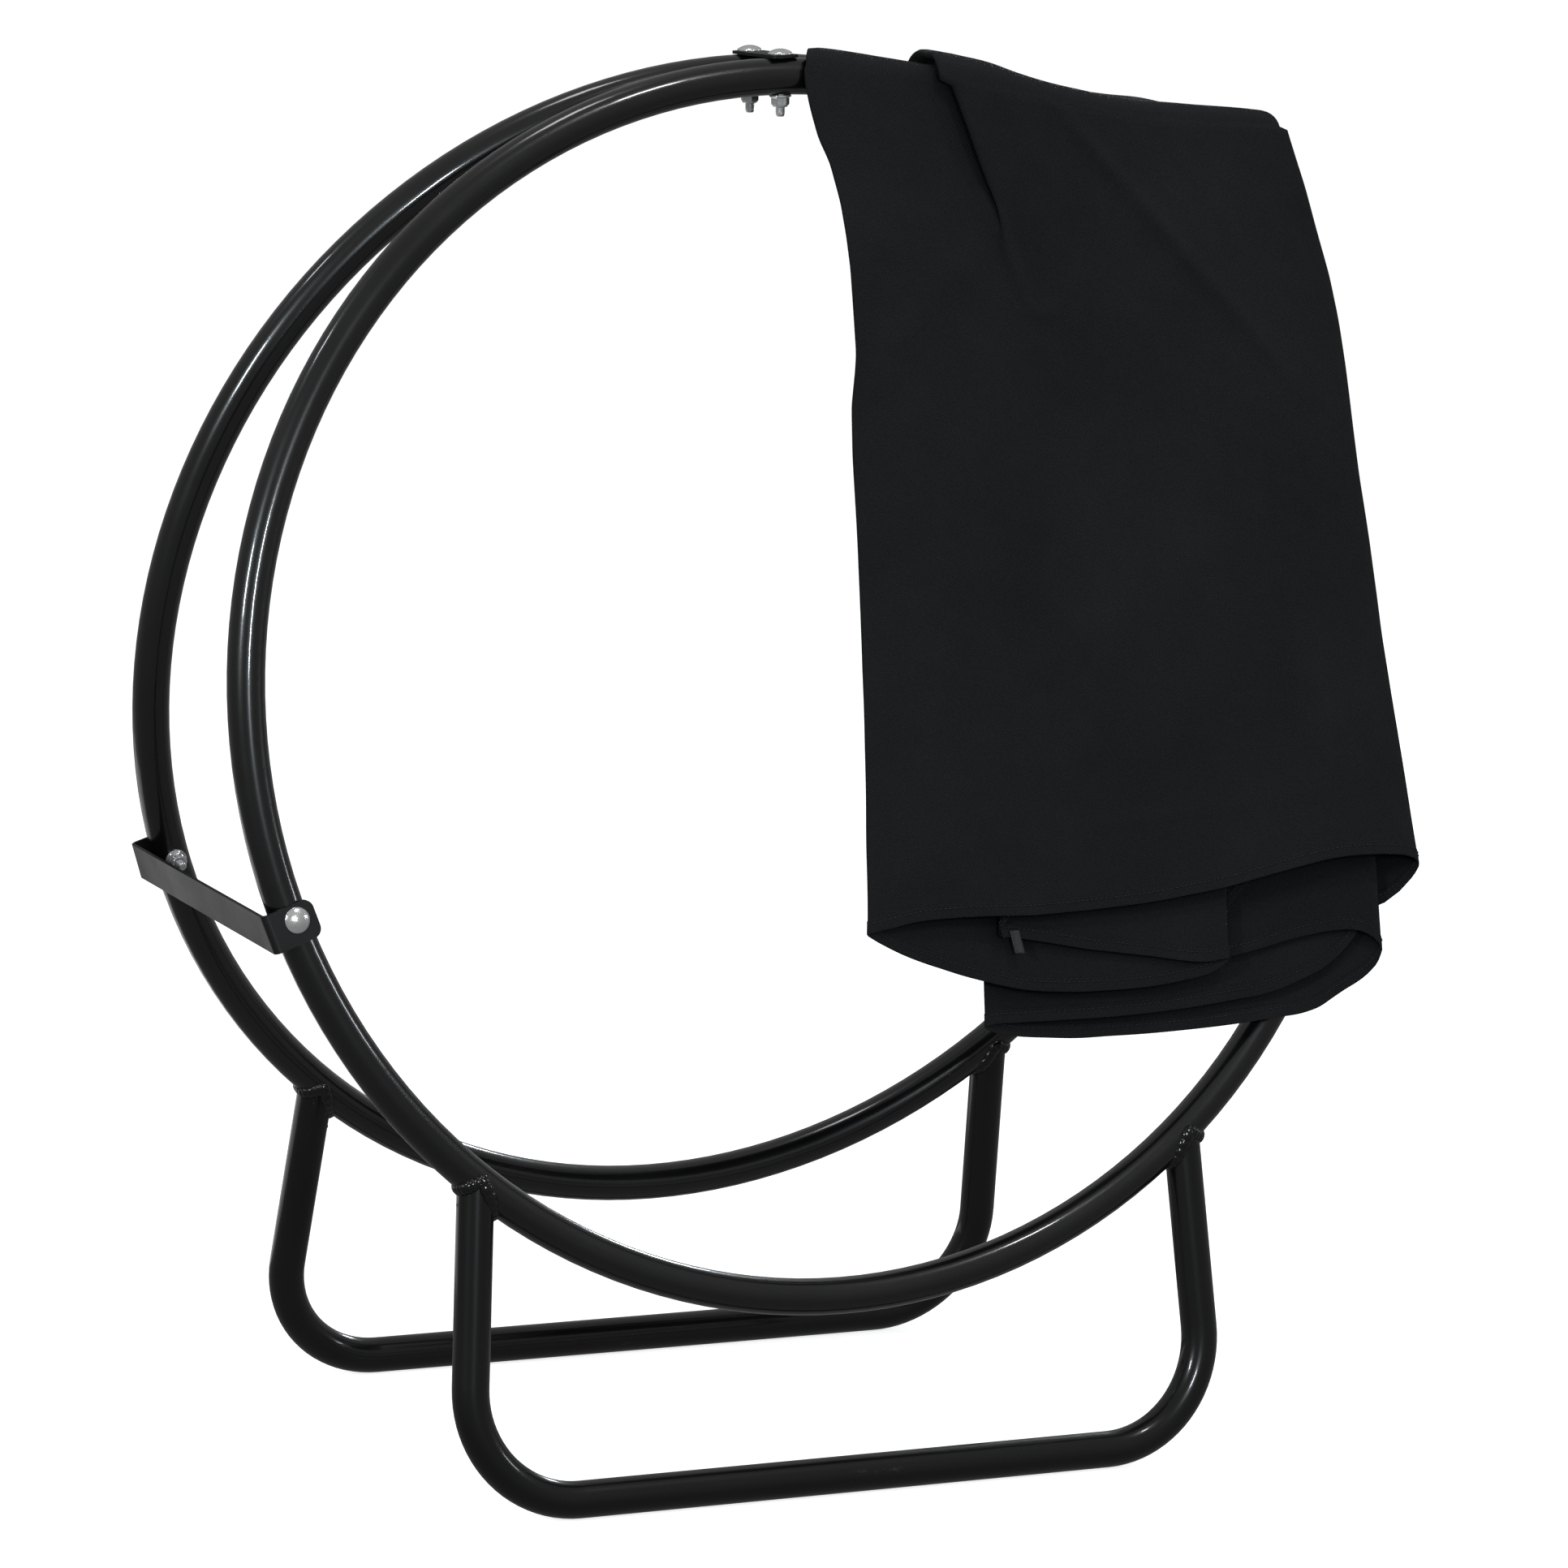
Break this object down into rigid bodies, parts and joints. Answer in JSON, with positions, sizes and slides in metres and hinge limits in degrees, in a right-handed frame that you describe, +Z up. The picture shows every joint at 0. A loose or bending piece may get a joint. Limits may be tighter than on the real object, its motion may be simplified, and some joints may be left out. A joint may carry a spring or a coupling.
{
  "type": "firewood log rack",
  "caption": "Firewood rack of two leaning round tube hoops on U-shaped feet, tied by side brackets and a top plate, with a folded weather cover.",
  "frame": {"origin": "on the floor, under the middle of the rack, half-way between the two feet and under the hoops' centres", "axes": "+Z up; +X to the right along the feet, seen from the front, towards the side that the cover hangs on; +Y from the front hoop to the back hoop"},
  "size_m": [1.038, 0.474, 1.153],
  "materials": {
    "powder_coat": "gloss",
    "weld_coat": "satin",
    "bracket_coat": "satin",
    "zinc": "polished",
    "cover_fabric": "matte"
  },
  "bodies": {
    "rack": {"front_upper_left_tube": "powder_coat", "front_upper_right_tube": "powder_coat", "front_lower_tube": "powder_coat", "front_foot_tube": "powder_coat", "front_left_weld": "weld_coat", "front_right_weld": "weld_coat", "front_top_bolt": "zinc", "front_top_nut": "zinc", "front_left_bolt": "zinc", "front_left_nut": "zinc", "front_right_bolt": "zinc", "front_right_nut": "zinc", "back_upper_left_tube": "powder_coat", "back_upper_right_tube": "powder_coat", "back_lower_tube": "powder_coat", "back_foot_tube": "powder_coat", "back_left_weld": "weld_coat", "back_right_weld": "weld_coat", "back_top_bolt": "zinc", "back_top_nut": "zinc", "back_left_bolt": "zinc", "back_left_nut": "zinc", "back_right_bolt": "zinc", "back_right_nut": "zinc", "left_side_bracket": "bracket_coat", "right_side_bracket": "bracket_coat", "top_tie_plate": "bracket_coat"},
    "cover": {"weather_cover": "cover_fabric"}
  },
  "joints": [
    {"name": "cover_lift", "type": "slide", "parent": "rack", "child": "cover", "axis": [0, 0, 1], "range_m": [0, 0.85]}
  ]
}
